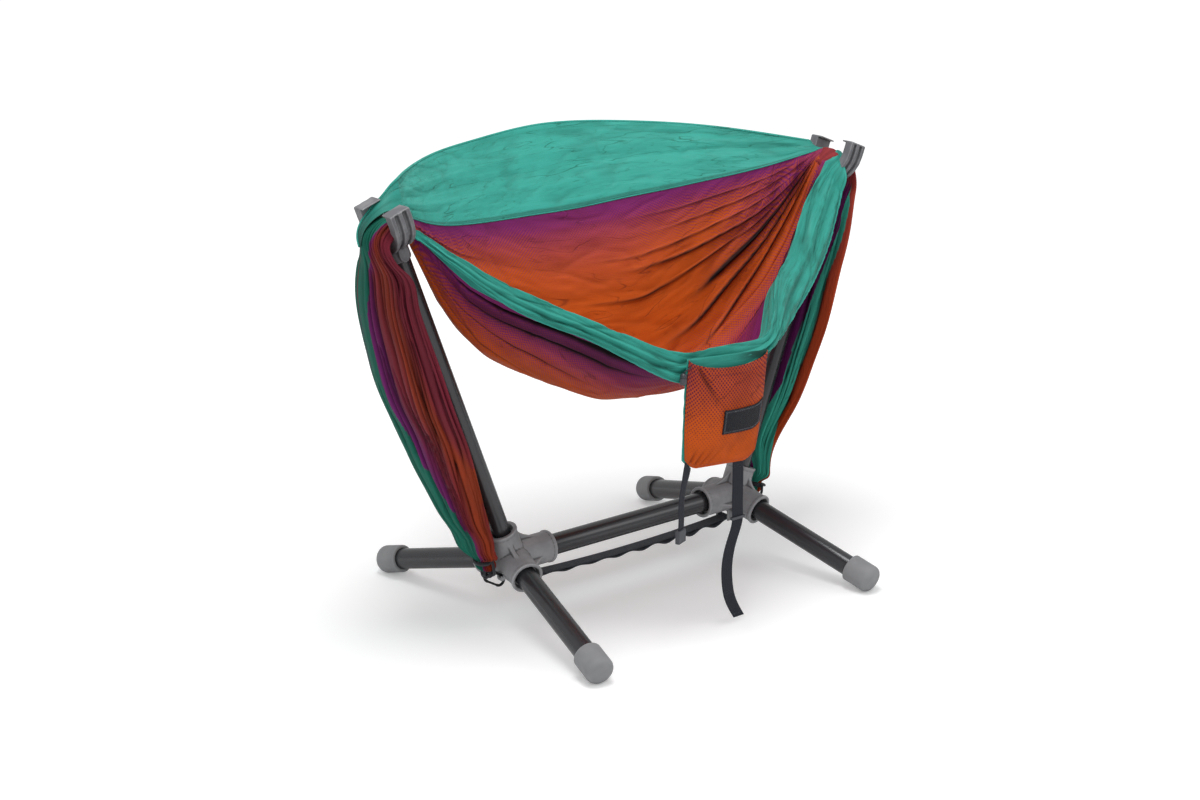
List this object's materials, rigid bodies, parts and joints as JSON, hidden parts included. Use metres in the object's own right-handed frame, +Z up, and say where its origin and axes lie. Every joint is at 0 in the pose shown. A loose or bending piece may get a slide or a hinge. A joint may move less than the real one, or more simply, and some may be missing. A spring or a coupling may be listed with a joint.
{
  "type": "hammock with stand",
  "caption": "Sling chair made of a gathered cloth hammock slung between two leaning uprights on a four-legged tube stand, with a sewn pouch and webbing straps.",
  "frame": {"origin": "on the floor, below the middle of the spine tube", "axes": "+X along the spine tube towards the right hub, +Y from the pouch side to the back, +Z up"},
  "size_m": [1.0906, 0.653, 0.8053],
  "materials": {
    "hub_plastic": "fine moulded grain",
    "cap_rubber": "matt moulded",
    "tube_metal": "dark anodised, satin",
    "webbing": "woven webbing, matt",
    "wire": "black, satin",
    "cord": "braided cord, matt",
    "black_plastic": "smooth moulded",
    "green_cloth": "thin ripstop cloth, slight sheen",
    "printed_cloth": "thin ripstop cloth with a fine dot print, purple to orange",
    "patch_weave": "woven, bare"
  },
  "bodies": {
    "stand_and_seat": {"left_hub": "hub_plastic", "left_upright_tube": "tube_metal", "left_yoke": "hub_plastic", "left_carabiner": "wire", "left_gather_cord": "cord", "left_gathered_end": "printed_cloth", "right_hub": "hub_plastic", "right_upright_tube": "tube_metal", "right_yoke": "hub_plastic", "right_carabiner": "wire", "right_gather_cord": "cord", "right_gathered_end": "printed_cloth", "spine_tube": "tube_metal", "tension_strap": "webbing", "seat_center_panel": "printed_cloth", "seat_front_panel": "green_cloth", "seat_rear_panel": "green_cloth"},
    "front_left_leg": {"front_left_leg_tube": "tube_metal", "front_left_foot_cap": "cap_rubber"},
    "rear_left_leg": {"rear_left_leg_tube": "tube_metal", "rear_left_foot_cap": "cap_rubber"},
    "front_right_leg": {"front_right_leg_tube": "tube_metal", "front_right_foot_cap": "cap_rubber"},
    "rear_right_leg": {"rear_right_leg_tube": "tube_metal", "rear_right_foot_cap": "cap_rubber"},
    "left_gate": {"left_carabiner_gate": "wire"},
    "right_gate": {"right_carabiner_gate": "wire"},
    "pouch": {"pouch_front": "printed_cloth", "pouch_back": "green_cloth", "pouch_patch": "patch_weave", "pouch_cord_lock": "black_plastic"},
    "buckle_strap": {"short_strap": "webbing", "strap_buckle_half": "black_plastic"},
    "slider_strap": {"long_strap": "webbing"},
    "slider": {"strap_slider": "black_plastic"}
  },
  "joints": [
    {"name": "front_left_leg_slide", "type": "slide", "parent": "stand_and_seat", "child": "front_left_leg", "axis": [-0.1605, -0.9492, -0.2706], "range_m": [0, 0.035]},
    {"name": "rear_left_leg_slide", "type": "slide", "parent": "stand_and_seat", "child": "rear_left_leg", "axis": [-0.1605, 0.9492, -0.2706], "range_m": [0, 0.035]},
    {"name": "front_right_leg_slide", "type": "slide", "parent": "stand_and_seat", "child": "front_right_leg", "axis": [0.1605, -0.9492, -0.2706], "range_m": [0, 0.035]},
    {"name": "rear_right_leg_slide", "type": "slide", "parent": "stand_and_seat", "child": "rear_right_leg", "axis": [0.1605, 0.9492, -0.2706], "range_m": [0, 0.035]},
    {"name": "left_gate_hinge", "type": "hinge", "parent": "stand_and_seat", "child": "left_gate", "pos_m": [-0.29551, 0, 0.06748], "axis": [0, 1, 0], "range_deg": [0, 20], "stiffness_Nm_per_rad": 0.005, "springref_deg": -11.46},
    {"name": "right_gate_hinge", "type": "hinge", "parent": "stand_and_seat", "child": "right_gate", "pos_m": [0.29551, 0, 0.06748], "axis": [0, -1, 0], "range_deg": [0, 20], "stiffness_Nm_per_rad": 0.005, "springref_deg": -11.46},
    {"name": "pouch_swing", "type": "hinge", "parent": "stand_and_seat", "child": "pouch", "pos_m": [-0.004, -0.2634, 0.4937], "axis": [-0.9969, 0, 0.0785], "range_deg": [0, 60]},
    {"name": "buckle_strap_swing", "type": "hinge", "parent": "pouch", "child": "buckle_strap", "pos_m": [-0.09056, -0.2657, 0.31779], "axis": [-0.7101, 0, 0.7041], "range_deg": [-20, 60]},
    {"name": "slider_strap_swing", "type": "hinge", "parent": "pouch", "child": "slider_strap", "pos_m": [0.02438, -0.2657, 0.29895], "axis": [-0.9969, 0, 0.0788], "range_deg": [-20, 45]},
    {"name": "slider_slide", "type": "slide", "parent": "slider_strap", "child": "slider", "axis": [-0.0097, 0.0183, 0.9998], "range_m": [0, 0.06]}
  ]
}
